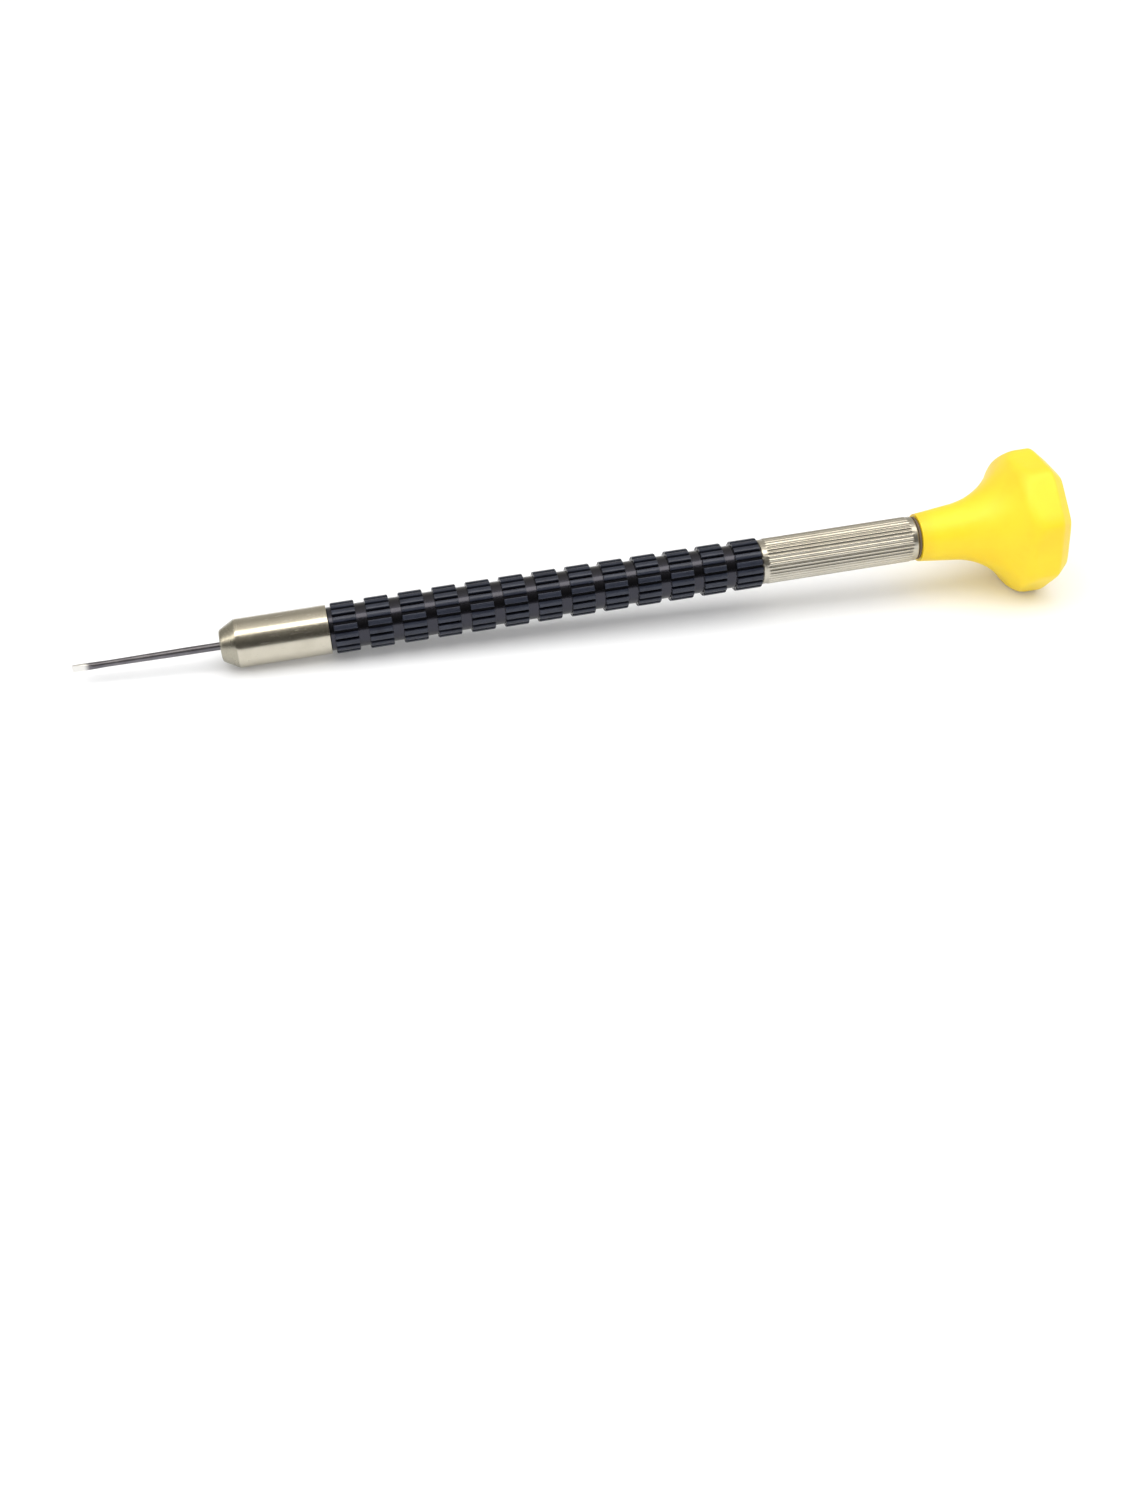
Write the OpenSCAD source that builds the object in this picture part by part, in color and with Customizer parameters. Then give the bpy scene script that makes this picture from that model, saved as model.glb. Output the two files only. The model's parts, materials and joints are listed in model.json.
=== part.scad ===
// Precision screwdriver with a slotted blade, a ringed and slotted grip, a fluted rear barrel
// and a finger-driven head that swivels on a stud and a thrust ball.
//
// Every piece is drawn along +Z with its stations measured from the blade's tip, and lay() then
// puts it in the part's frame: the tool lies on the plane z = 0 with its tip towards -X. It rests
// on the nose's lower edge and on one flat of the head's eight-sided rim, so its axis rises
// slightly towards the head. The origin is on that plane, under the middle of the tool.

/* [Blade] */
// Width of the ground driving edge
blade_w = 0.8; // [0.4:0.1:1.2]
// Thickness of the driving edge
blade_t = 0.16; // [0.1:0.02:0.24]
// Length of the two ground flats
blade_grind_l = 3.4; // [2:0.2:5]
// Diameter of the waist behind the driving edge
blade_waist_d = 0.7; // [0.4:0.1:1.2]
// Diameter of the round shank
blade_shank_d = 0.85; // [0.6:0.05:1.3]
// Length of blade that stands out of the nose
blade_out = 15.9; // [10:0.5:22]
// Length of blade held inside the nose
blade_in = 6.4; // [5.8:0.1:7.6]

/* [Nose] */
// Diameter of the nose
nose_d = 5.4; // [4.6:0.1:7]
// Length of the nose from its front face to the grip
nose_l = 11.8; // [11:0.2:15]
// Length of the front chamfer, along the axis
nose_cone_l = 1.8; // [1:0.1:2]
// Depth of the front chamfer, across the axis
nose_cone_d = 1.0; // [0.5:0.1:1.2]
// Radius that softens the front face's edge
nose_edge_r = 0.25; // [0.1:0.05:0.4]
// Diameter of the clamp screw that pinches the blade
clamp_d = 1.6; // [1:0.1:2]
// Distance from the nose's front face to the clamp screw
clamp_at = 4.2; // [3.4:0.1:4.8]
// Depth of the clamp screw's head below the nose's surface
clamp_sink = 0.25; // [0.1:0.05:0.5]

/* [Grip] */
// Diameter over the rings
grip_d = 5.6; // [5:0.1:8]
// Diameter at the bottom of the grooves
grip_floor_d = 4.8; // [4.2:0.1:5.2]
// Number of rings
ring_count = 13; // [4:1:20]
// Distance from one ring to the next
ring_pitch = 3.75; // [2.8:0.05:5]
// Length of one ring along the axis
ring_l = 2.6; // [1.6:0.1:2.7]
// Length of the last ring along the axis
last_ring_l = 3.0; // [1.6:0.1:4]
// Length of the plain collar in front of the first ring
grip_collar_l = 0.5; // [0.3:0.1:2]
// Number of slots cut lengthwise through the rings
slot_count = 18; // [8:1:24]
// Width of one slot
slot_w = 0.34; // [0.2:0.02:0.4]
// Bevel on the edges of each ring
ring_bevel = 0.08; // [0.04:0.02:0.12]

/* [Rear barrel] */
// Diameter of the rear barrel over its flutes
barrel_d = 5.1; // [4.8:0.1:6]
// Length of the rear barrel
barrel_l = 18.4; // [14:0.2:30]
// Number of fine flutes
flute_count = 36; // [18:2:48]
// Depth of a flute
flute_depth = 0.14; // [0.06:0.02:0.2]
// Length of the plain collar at each end
barrel_collar_l = 0.7; // [0.4:0.1:2]
// Bevel at each end
barrel_bevel = 0.2; // [0.1:0.05:0.3]

/* [Core] */
// Diameter of the core rod that ties nose, grip and barrel together
core_d = 3.0; // [2:0.1:3.4]
// Depth to which the core rod enters the nose
core_in_nose = 3.4; // [2:0.1:3.6]
// Depth to which the core rod enters the rear barrel
core_in_barrel = 8; // [4:0.5:8]

/* [Head] */
// Distance across the corners of the head's rim
head_d = 16.4; // [14:0.1:20]
// Number of flats on the rim
head_flats = 8; // [6:2:10]
// Distance across the flats of the rim
head_af = 15.4; // [13:0.1:15.8]
// Diameter of the neck where it meets the washer
neck_d = 5.4; // [5.2:0.1:7]
// Diameter of the neck where the flare begins
neck_end_d = 6.4; // [6:0.1:8]
// Length of the neck's straight taper
neck_l = 4.4; // [3:0.1:8]
// Radius of the hollow flare between neck and rim
flare_r = 8.4; // [6:0.1:12]
// Radius of the rounded shoulder in front of the rim
shoulder_r = 2.6; // [2:0.1:4]
// Length of the rim's straight band
rim_l = 1.3; // [1:0.1:4]
// Size of the bevel behind the rim
back_bevel = 1.1; // [0.8:0.1:2]
// Radius that softens both ends of that bevel
back_round = 0.8; // [0.5:0.1:1.5]
// Diameter of the hollow that takes the fingertip
dish_d = 9.6; // [6:0.2:11]
// Depth of that hollow
dish_depth = 0.6; // [0.2:0.1:1]

/* [Swivel] */
// Thickness of the washer between barrel and head
washer_t = 0.25; // [0.2:0.05:0.5]
// Diameter of the stud's threaded end
stud_d = 2.0; // [1.4:0.1:2.6]
// Depth to which the stud enters the barrel
stud_in = 5; // [3:0.5:7]
// Diameter of the stud's flange
flange_d = 3.2; // [2.8:0.1:3.6]
// Diameter of the journal that the head turns on
journal_d = 1.8; // [1.4:0.1:2]
// Outside diameter of the bearing bush
bush_d = 3.6; // [3:0.1:4.2]
// Length of the bearing bush
bush_l = 6.4; // [4:0.2:7]
// Thickness of the retaining ring
clip_t = 0.4; // [0.3:0.05:0.6]
// Outside diameter of the retaining ring
clip_d = 2.8; // [2.4:0.1:3]
// Diameter of the thrust ball
ball_d = 1.6; // [1.2:0.1:2]

/* [Fits] */
// Radial clearance of a piece that turns or slides
run_gap = 0.03; // [0.02:0.01:0.06]
// Radial clearance of a piece that is pressed or screwed in
seat_gap = 0.02; // [0.01:0.01:0.05]
// End clearance between pieces on the axis
end_gap = 0.05; // [0.02:0.01:0.1]

/* [Hidden] */
$fn = 96;

// A small amount by which a cut runs past the face it opens
past = 0.5;
// Width and depth of the driver slot in the clamp screw
clamp_slot_w = 0.3;
clamp_slot_depth = 0.5;
// Depth of the groove that holds the retaining ring, and the opening of that ring
clip_groove = 0.25;
clip_mouth = 0.9;
// Bevel on the small turned pieces
small_bevel = 0.1;
// Thickness of the stud's flange beyond the washer
flange_lip = 0.5;
// Length of the stud's tip beyond the retaining ring
stud_tip_l = 0.6;
// Radial clearance between the retaining ring and the head
clip_gap = 0.06;
// Depth to which each ring of the grip is rooted in its tube
ring_root = 0.1;
// Ends of the blade's full-width edge and of its waist, as shares of the ground length
edge_share = 0.4;
waist_share = 1.1;
// End of the taper behind the waist, as a share of the length that stands out of the nose
taper_share = 0.75;
// Half thickness left at the end of the ground flats, as a share of the shank's diameter
grind_share = 0.6;
// Numbers of straight steps in the head's arcs, in the nose's edge and in the bevel's rounds
arc_steps = 16;
edge_steps = 8;
round_steps = 6;

// Stations along the axis, from the blade's tip
nose_at = blade_out;
grip_at = nose_at + nose_l;
rings_at = grip_at + grip_collar_l;
grip_end = rings_at + (ring_count - 1) * ring_pitch + last_ring_l;
barrel_end = grip_end + barrel_l;
head_at = barrel_end + washer_t + end_gap;

// The head's outline: a taper, a hollow arc, a rounded shoulder, a band and a softened bevel
head_r = head_d / 2;
neck_slope = atan((neck_end_d - neck_d) / 2 / neck_l);
flare_rise = head_r - neck_end_d / 2;
flare_slope = acos((flare_r * cos(neck_slope) + shoulder_r - flare_rise) / (flare_r + shoulder_r));
flare_l = flare_r * (sin(flare_slope) - sin(neck_slope));
rim_at = neck_l + flare_l + shoulder_r * sin(flare_slope);
rim_end = rim_at + rim_l;
head_l = rim_end + back_bevel + back_round;
back_r = head_r - back_bevel - back_round;

// How the tool lies: the nose's lower edge and the front of one rim flat both touch z = 0
nose_edge_at = nose_at + nose_cone_l;
flat_r = head_af / 2;
flat_turn = acos(1 - (head_r - flat_r) / shoulder_r);
flat_at = head_at + rim_at - shoulder_r * sin(flat_turn);
tilt = atan((flat_r - nose_d / 2) / (flat_at - nose_edge_at));
lift = nose_d / 2 * cos(tilt) - nose_edge_at * sin(tilt);
tip_x = -blade_w / 2 * sin(tilt);
end_x = (head_at + head_l - back_round) * cos(tilt) + back_r * sin(tilt) + back_round;

// The swivel's stations, from the head's front face
bush_at = flange_lip + end_gap;
clip_at = bush_at + bush_l + end_gap;
journal_end = clip_at + clip_t + stud_tip_l;
ball_at = journal_end + ball_d / 2 + end_gap / 2;

// Bores
core_bore_d = core_d + 2 * seat_gap;
bush_bore_d = bush_d + 2 * seat_gap;
ball_bore_d = ball_d + 2 * run_gap;
clip_bore_d = clip_d + 2 * clip_gap;

// Puts a piece that is drawn along +Z into the part's frame
module lay() {
    translate([-(tip_x + end_x) / 2, 0, lift])
        rotate([0, 90 - tilt, 0])
            children();
}

// Points of an arc round [x, y], from one angle to another
function arc(x, y, r, from, to, steps = arc_steps) =
    [for (i = [0 : steps]) let (a = from + (to - from) * i / steps) [x + r * cos(a), y + r * sin(a)]];

// A turned cylinder with a bevel at each end
module turned(r, length, bevel) {
    rotate_extrude()
        polygon([
            [0, 0], [r - bevel, 0], [r, bevel],
            [r, length - bevel], [r - bevel, length], [0, length]
        ]);
}

// Round shank that narrows to a waist, widens to the driving edge and is ground flat on two sides
module blade() {
    total = blade_out + blade_in - end_gap;
    edge_end = blade_grind_l * edge_share;
    waist_at = blade_grind_l * waist_share;
    taper_end = blade_out * taper_share;
    grind_r = blade_shank_d * grind_share;
    color([0.78, 0.77, 0.74])
        lay()
            intersection() {
                rotate_extrude()
                    polygon([
                        [0, 0], [blade_w / 2, 0], [blade_w / 2, edge_end],
                        [blade_waist_d / 2, waist_at], [blade_shank_d / 2, taper_end],
                        [blade_shank_d / 2, total - small_bevel],
                        [blade_shank_d / 2 - small_bevel, total], [0, total]
                    ]);
                rotate([90, 0, 90])
                    linear_extrude(2 * blade_shank_d, center = true)
                        polygon([
                            [-blade_t / 2, 0], [blade_t / 2, 0], [grind_r, blade_grind_l],
                            [grind_r, total], [-grind_r, total], [-grind_r, blade_grind_l]
                        ]);
            }
}

// Puts the clamp screw's own frame, with +Z along the screw, at its place in the nose
module at_clamp() {
    translate([0, 0, nose_at + clamp_at])
        rotate([-90, 0, 0])
            children();
}

// Plated nose with the blade's bore in front, the core rod's bore behind and the clamp's hole
module nose() {
    r = nose_d / 2;
    face_r = r - nose_cone_d;
    cone_angle = atan(nose_cone_d / nose_cone_l);
    edge = arc(face_r - nose_edge_r, nose_edge_r, nose_edge_r, -90, -cone_angle / 2, edge_steps);
    blade_bore_d = blade_shank_d + 2 * run_gap;
    color([0.76, 0.75, 0.72])
        lay()
            difference() {
                translate([0, 0, nose_at])
                    rotate_extrude()
                        polygon(concat([[0, 0]], edge, [[r, nose_cone_l], [r, nose_l], [0, nose_l]]));
                translate([0, 0, nose_at - past])
                    cylinder(d = blade_bore_d, h = blade_in + past);
                translate([0, 0, grip_at - core_in_nose - end_gap])
                    cylinder(d = core_bore_d, h = core_in_nose + end_gap + past);
                at_clamp()
                    cylinder(d = clamp_d + 2 * run_gap, h = r + past);
            }
}

// Slotted grub screw that pinches the blade from the nose's far side
module clamp_screw() {
    start = blade_shank_d / 2 + run_gap;
    length = nose_d / 2 - clamp_sink - start;
    color([0.45, 0.45, 0.44])
        lay()
            at_clamp()
                translate([0, 0, start])
                    difference() {
                        turned(clamp_d / 2, length, small_bevel);
                        translate([-clamp_d, -clamp_slot_w / 2, length - clamp_slot_depth])
                            cube([2 * clamp_d, clamp_slot_w, clamp_slot_depth + past]);
                    }
}

// Steel rod that runs from the nose through the grip into the rear barrel
module core_rod() {
    color([0.55, 0.55, 0.54])
        lay()
            translate([0, 0, grip_at - core_in_nose])
                turned(core_d / 2, core_in_nose + grip_end - grip_at + core_in_barrel, small_bevel);
}

// Outline of one ring with bevelled edges, from the grooves' floor outwards
module ring_outline(length) {
    floor_r = grip_floor_d / 2 - ring_root;
    r = grip_d / 2;
    polygon([
        [floor_r, 0], [r - ring_bevel, 0], [r, ring_bevel],
        [r, length - ring_bevel], [r - ring_bevel, length], [floor_r, length]
    ]);
}

// Black sleeve: a tube with rings round it and slots cut lengthwise through every ring
module grip_sleeve() {
    floor_r = grip_floor_d / 2;
    color([0.12, 0.12, 0.15])
        lay()
            difference() {
                translate([0, 0, grip_at])
                    rotate_extrude()
                        union() {
                            translate([core_bore_d / 2, 0])
                                square([floor_r - core_bore_d / 2, grip_end - grip_at]);
                            for (i = [0 : ring_count - 1])
                                translate([0, grip_collar_l + i * ring_pitch])
                                    ring_outline(i == ring_count - 1 ? last_ring_l : ring_l);
                        }
                for (i = [0 : slot_count - 1])
                    rotate([0, 0, (i + 0.5) * 360 / slot_count])
                        translate([floor_r, -slot_w / 2, rings_at - grip_collar_l / 2])
                            cube([grip_d, slot_w, grip_end - rings_at + grip_collar_l / 2 + past]);
            }
}

// Cross-section of the barrel: a circle of fine V-shaped flutes
module fluted_outline() {
    r = barrel_d / 2;
    step = 360 / flute_count;
    polygon([
        for (i = [0 : flute_count - 1], side = [0, 1])
            let (a = (i + side / 2) * step, flute_r = r - side * flute_depth)
                [flute_r * cos(a), flute_r * sin(a)]
    ]);
}

// Plated rear barrel with flutes between two plain collars
module rear_barrel() {
    r = barrel_d / 2 - flute_depth / 2;
    color([0.80, 0.78, 0.74])
        lay()
            translate([0, 0, grip_end])
                difference() {
                    union() {
                        turned(r, barrel_l, barrel_bevel);
                        translate([0, 0, barrel_collar_l])
                            linear_extrude(barrel_l - 2 * barrel_collar_l)
                                fluted_outline();
                    }
                    translate([0, 0, -past])
                        cylinder(d = core_bore_d, h = core_in_barrel + end_gap + past);
                    translate([0, 0, barrel_l - stud_in - end_gap])
                        cylinder(d = stud_d + 2 * seat_gap, h = stud_in + end_gap + past);
                }
}

// Steel stud: a threaded end in the barrel, a flange, a journal and a groove for the ring
module pivot_stud() {
    groove_r = journal_d / 2 - clip_groove;
    journal_at = barrel_end + washer_t + end_gap + flange_lip;
    groove_at = head_at + clip_at - run_gap;
    tip_at = head_at + journal_end;
    color([0.6, 0.6, 0.6])
        lay()
            rotate_extrude()
                polygon([
                    [0, barrel_end - stud_in],
                    [stud_d / 2 - small_bevel, barrel_end - stud_in],
                    [stud_d / 2, barrel_end - stud_in + small_bevel],
                    [stud_d / 2, barrel_end],
                    [flange_d / 2, barrel_end],
                    [flange_d / 2, journal_at],
                    [journal_d / 2, journal_at],
                    [journal_d / 2, groove_at],
                    [groove_r, groove_at],
                    [groove_r, groove_at + clip_t + 2 * run_gap],
                    [journal_d / 2, groove_at + clip_t + 2 * run_gap],
                    [journal_d / 2, tip_at - small_bevel],
                    [journal_d / 2 - small_bevel, tip_at],
                    [0, tip_at]
                ]);
}

// Thin dark washer between the barrel's end and the head
module head_washer() {
    bore_r = flange_d / 2 + run_gap;
    color([0.06, 0.06, 0.06])
        lay()
            translate([0, 0, barrel_end])
                rotate_extrude()
                    translate([bore_r, 0])
                        square([barrel_d / 2 - flute_depth - bore_r, washer_t]);
}

// Brass bush pressed into the head
module bearing_bush() {
    bore_r = journal_d / 2 + run_gap;
    color([0.78, 0.62, 0.30])
        lay()
            translate([0, 0, head_at + bush_at])
                rotate_extrude()
                    translate([bore_r, 0])
                        square([bush_d / 2 - bore_r, bush_l]);
}

// Spring-steel ring in the stud's groove, open on one side, that keeps the head on
module retaining_ring() {
    bore_r = journal_d / 2 - clip_groove + run_gap;
    color([0.3, 0.3, 0.32])
        lay()
            translate([0, 0, head_at + clip_at])
                difference() {
                    rotate_extrude()
                        translate([bore_r, 0])
                            square([clip_d / 2 - bore_r, clip_t]);
                    translate([0, -clip_mouth / 2, -past])
                        cube([clip_d, clip_mouth, clip_t + 2 * past]);
                }
}

// Hardened ball that takes the push of the fingertip
module thrust_ball() {
    color([0.7, 0.7, 0.7])
        lay()
            translate([0, 0, head_at + ball_at])
                sphere(d = ball_d);
}

// Outline of the head, from the axis out
module head_outline() {
    flare_x = neck_end_d / 2 + flare_r * cos(neck_slope);
    flare_y = neck_l - flare_r * sin(neck_slope);
    polygon(concat(
        [[0, 0], [neck_d / 2, 0]],
        arc(flare_x, flare_y, flare_r, 180 - neck_slope, 180 - flare_slope),
        arc(head_r - shoulder_r, rim_at, shoulder_r, -flare_slope, 0),
        arc(head_r - back_round, rim_end, back_round, 0, 45, round_steps),
        arc(back_r, head_l - back_round, back_round, 45, 90, round_steps),
        [[0, head_l]]
    ));
}

// Moulded head: a trumpet-shaped finger rest whose rim has flats that stop it rolling
module swivel_head() {
    dish_r = (pow(dish_d / 2, 2) + pow(dish_depth, 2)) / (2 * dish_depth);
    clip_room_at = bush_at + bush_l - end_gap;
    color([0.96, 0.85, 0.22])
        lay()
            translate([0, 0, head_at])
                difference() {
                    intersection() {
                        rotate_extrude()
                            head_outline();
                        translate([0, 0, -past])
                            rotate([0, 0, 180 / head_flats])
                                cylinder(d = head_af / cos(180 / head_flats), h = head_l + 2 * past,
                                    $fn = head_flats);
                    }
                    translate([0, 0, -past])
                        cylinder(d = bush_bore_d, h = bush_at + bush_l + past);
                    translate([0, 0, clip_room_at])
                        cylinder(d = clip_bore_d, h = clip_at + clip_t + end_gap - clip_room_at);
                    cylinder(d = max(ball_bore_d, journal_d + 2 * run_gap), h = ball_at);
                    translate([0, 0, ball_at])
                        sphere(d = ball_bore_d);
                    translate([0, 0, head_l - dish_depth + dish_r])
                        sphere(r = dish_r);
                }
}

blade();
nose();
clamp_screw();
core_rod();
grip_sleeve();
rear_barrel();
pivot_stud();
head_washer();
bearing_bush();
retaining_ring();
thrust_ball();
swivel_head();
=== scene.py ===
"""Precision screwdriver: the visual model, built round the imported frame."""

import json
import logging
import math
from dataclasses import dataclass
from enum import Enum
from typing import Sequence, Union

import bmesh
import bpy
import numpy as np
from mathutils import Matrix, Vector


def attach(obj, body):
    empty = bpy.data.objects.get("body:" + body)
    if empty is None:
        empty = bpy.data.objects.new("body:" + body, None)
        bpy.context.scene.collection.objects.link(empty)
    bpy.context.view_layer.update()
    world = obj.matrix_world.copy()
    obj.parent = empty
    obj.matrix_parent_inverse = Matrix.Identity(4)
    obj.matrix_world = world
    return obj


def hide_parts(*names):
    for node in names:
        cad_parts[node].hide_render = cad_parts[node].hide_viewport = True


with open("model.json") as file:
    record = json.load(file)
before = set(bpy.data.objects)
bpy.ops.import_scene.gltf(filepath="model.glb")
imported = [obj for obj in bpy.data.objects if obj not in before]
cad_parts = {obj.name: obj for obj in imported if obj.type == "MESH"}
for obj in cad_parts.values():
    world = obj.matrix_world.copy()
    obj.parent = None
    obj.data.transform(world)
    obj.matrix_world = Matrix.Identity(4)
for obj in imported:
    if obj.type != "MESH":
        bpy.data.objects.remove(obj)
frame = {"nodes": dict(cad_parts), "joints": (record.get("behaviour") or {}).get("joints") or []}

LOG = logging.getLogger("screwdriver")
MM = 0.001
FULL_TURN = 2 * math.pi
WELD = 1e-7
ACROSS_SHARE = 0.3
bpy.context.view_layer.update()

Span = tuple[float, float]
Point = tuple[float, float, float]
Colour = tuple[float, float, float]
Profile = Sequence[Span]


# ---------------------------------------------------------------- the frame


@dataclass(frozen=True)
class ToolAxis:
    """The tool's own axis: a foot on it, and the directions along, down and to the side."""

    foot: Vector
    along: Vector
    down: Vector
    side: Vector

    @classmethod
    def from_frame(cls, joint_name: str) -> "ToolAxis":
        """Reads the axis from the joint that the head turns on.

        Args:
            joint_name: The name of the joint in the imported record.

        Returns:
            The axis, with its foot level with the blade's tip.
        """
        joint = next(j for j in frame["joints"] if j["name"] == joint_name)
        along = Vector(joint["axis"]).normalized()
        side = Vector((0.0, 1.0, 0.0))
        down = side.cross(along).normalized()
        origin = Vector(joint["pos_m"] if "pos_m" in joint else joint["pos"])
        axis = cls(origin, along, down, side)
        tip = axis.span("blade")[0]
        return cls(origin + along * tip, along, down, side)

    def matrix(self) -> Matrix:
        """Turns the axis's own coordinates into the row frame."""
        turn = Matrix((self.down, self.side, self.along)).transposed().to_4x4()
        return Matrix.Translation(self.foot) @ turn

    def local(self, node: str) -> np.ndarray:
        """Gives a CAD node's vertices in the axis's own coordinates.

        Args:
            node: The node's name.

        Returns:
            An array with one row of x, y and z per vertex, in metres.
        """
        mesh = frame["nodes"][node].data
        flat = np.zeros(len(mesh.vertices) * 3, np.float32)
        mesh.vertices.foreach_get("co", flat)
        offset = flat.reshape(-1, 3).astype(float) - np.array(self.foot)
        return offset @ np.array([self.down, self.side, self.along]).T

    def span(self, node: str) -> Span:
        """Gives a node's first and last station along the axis."""
        stations = self.local(node)[:, 2]
        return float(stations.min()), float(stations.max())

    def radius(self, node: str, start: float = -1.0, end: float = 1.0) -> float:
        """Gives a node's largest radius between two stations.

        Args:
            node: The node's name.
            start: The first station, in metres.
            end: The last station, in metres.

        Returns:
            The radius in metres.
        """
        points = self.local(node)
        within = (points[:, 2] >= start) & (points[:, 2] <= end)
        return float(np.hypot(points[within, 0], points[within, 1]).max())


# ---------------------------------------------------------------- meshes


def arc(centre: Span, radius: float, start: float, end: float, steps: int) -> list[Span]:
    """Gives the points of an arc in the plane of radius and station.

    Args:
        centre: The arc's centre, as radius and station.
        radius: The arc's own radius.
        start: The first angle in degrees, from the direction of growing radius.
        end: The last angle in degrees.
        steps: The number of steps between them.

    Returns:
        The points, ends included.
    """
    angles = np.radians(np.linspace(start, end, steps + 1))
    return [(centre[0] + radius * math.cos(a), centre[1] + radius * math.sin(a)) for a in angles]


def fillet(profile: Profile, rounds: dict[int, float], steps: int = 5) -> list[Span]:
    """Rounds some corners of a profile.

    Args:
        profile: The corners, as radius and station.
        rounds: For each corner to round, how far the round reaches along its two sides.
        steps: The number of steps in a round.

    Returns:
        The new profile.
    """
    most = 0.49
    done: list[Span] = []
    for i, corner in enumerate(profile):
        reach = rounds.get(i, 0.0)
        if not reach:
            done.append(corner)
            continue
        here = np.array(corner)
        sides = (np.array(profile[i - 1]) - here, np.array(profile[i + 1]) - here)
        lengths = [np.linalg.norm(side) for side in sides]
        start, end = (
            here + side / length * min(reach, length * most) for side, length in zip(sides, lengths)
        )
        for t in np.linspace(0, 1, steps + 1):
            point = (1 - t) ** 2 * start + 2 * t * (1 - t) * here + t**2 * end
            done.append((float(point[0]), float(point[1])))
    return done


def refine(profile: Profile, longest: float) -> list[Span]:
    """Splits the long sides of a profile.

    Args:
        profile: The corners, as radius and station.
        longest: The longest side to leave whole, in metres.

    Returns:
        The profile with more points on its long sides.
    """
    done = [profile[0]]
    for a, b in zip(profile, profile[1:]):
        parts = max(1, math.ceil(math.dist(a, b) / longest))
        for k in range(1, parts + 1):
            done.append((a[0] + (b[0] - a[0]) * k / parts, a[1] + (b[1] - a[1]) * k / parts))
    return done


def new_object(
    name: str, vertices: Sequence[Sequence[float]], faces: Sequence[Sequence[int]], axis: ToolAxis
) -> bpy.types.Object:
    """Makes an object from points in the axis's own coordinates.

    Args:
        name: The object's name.
        vertices: The points, in metres.
        faces: The faces, as lists of point numbers.
        axis: The tool's axis.

    Returns:
        The object, at the origin, with its place in its mesh.
    """
    mesh = bpy.data.meshes.new(name)
    mesh.from_pydata([tuple(v) for v in vertices], [], [tuple(f) for f in faces])
    work = bmesh.new()
    work.from_mesh(mesh)
    bmesh.ops.remove_doubles(work, verts=work.verts, dist=WELD)
    bmesh.ops.dissolve_degenerate(work, edges=work.edges, dist=1e-8)
    bmesh.ops.recalc_face_normals(work, faces=work.faces)
    work.to_mesh(mesh)
    work.free()
    mesh.transform(axis.matrix())
    obj = bpy.data.objects.new(name, mesh)
    bpy.context.scene.collection.objects.link(obj)
    return obj


def sweep_faces(rings: int, segments: int, closed: bool) -> list[tuple[int, ...]]:
    """Gives the faces of a grid of rings round the axis.

    Args:
        rings: The number of rings.
        segments: The number of points in a ring.
        closed: True if the last ring joins the first.

    Returns:
        The faces as point numbers, ring by ring.
    """
    faces = []
    for r in range(rings if closed else rings - 1):
        a, b = r * segments, (r + 1) % rings * segments
        for s in range(segments):
            t = (s + 1) % segments
            faces.append((a + s, a + t, b + t, b + s))
    return faces


def lathe(name: str, profile: Profile, axis: ToolAxis, segments: int) -> bpy.types.Object:
    """Turns a profile round the axis.

    Args:
        name: The object's name.
        profile: The outline as radius and station; it starts and ends on the axis, or it closes on itself.
        axis: The tool's axis.
        segments: The number of points in each ring.

    Returns:
        The turned object.
    """
    closed = min(profile[0][0], profile[-1][0]) > 1e-6
    angles = np.arange(segments) * FULL_TURN / segments
    vertices = [(r * math.cos(a), r * math.sin(a), z) for r, z in profile for a in angles]
    return new_object(name, vertices, sweep_faces(len(profile), segments, closed), axis)


def shade(obj: bpy.types.Object, sharp_degrees: float) -> None:
    """Smooths an object and keeps its sharp edges.

    Args:
        obj: The object.
        sharp_degrees: The angle at which an edge stays sharp.
    """
    mesh = obj.data
    mesh.polygons.foreach_set("use_smooth", [True] * len(mesh.polygons))
    work = bmesh.new()
    work.from_mesh(mesh)
    limit = math.radians(sharp_degrees)
    for edge in work.edges:
        edge.smooth = len(edge.link_faces) == 2 and edge.calc_face_angle(0.0) < limit
    work.to_mesh(mesh)
    work.free()
    mesh.update()


# ---------------------------------------------------------------- shader and geometry trees


Value = Union[float, "Term"]


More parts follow.
